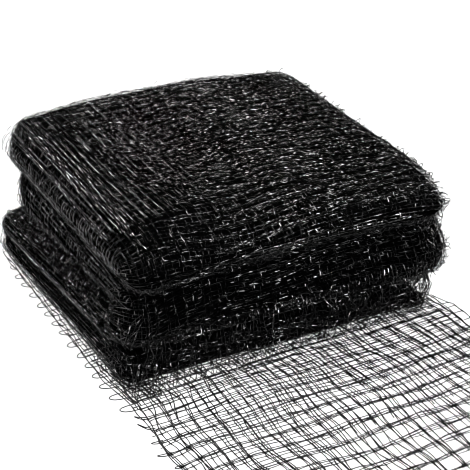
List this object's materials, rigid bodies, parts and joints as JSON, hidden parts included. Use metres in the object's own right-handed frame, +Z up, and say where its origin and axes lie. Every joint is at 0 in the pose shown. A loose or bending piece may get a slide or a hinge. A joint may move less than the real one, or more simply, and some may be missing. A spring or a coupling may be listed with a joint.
{
  "type": "folded bird netting",
  "caption": "Black extruded square-mesh bird netting, folded back and forth into a soft pile, with its loose end lying flat in front.",
  "frame": {"origin": "the middle of the pile's footprint on the surface it lies on, at the height of that surface", "axes": "+Z up out of the surface, +X along the folds, -Y towards the loose end that runs out flat in front of the pile"},
  "size_m": [0.3657, 0.5549, 0.1554],
  "materials": {
    "netting": "black extruded polypropylene strands, semi-gloss"
  },
  "bodies": {
    "root": {"netting": "netting"}
  },
  "joints": []
}
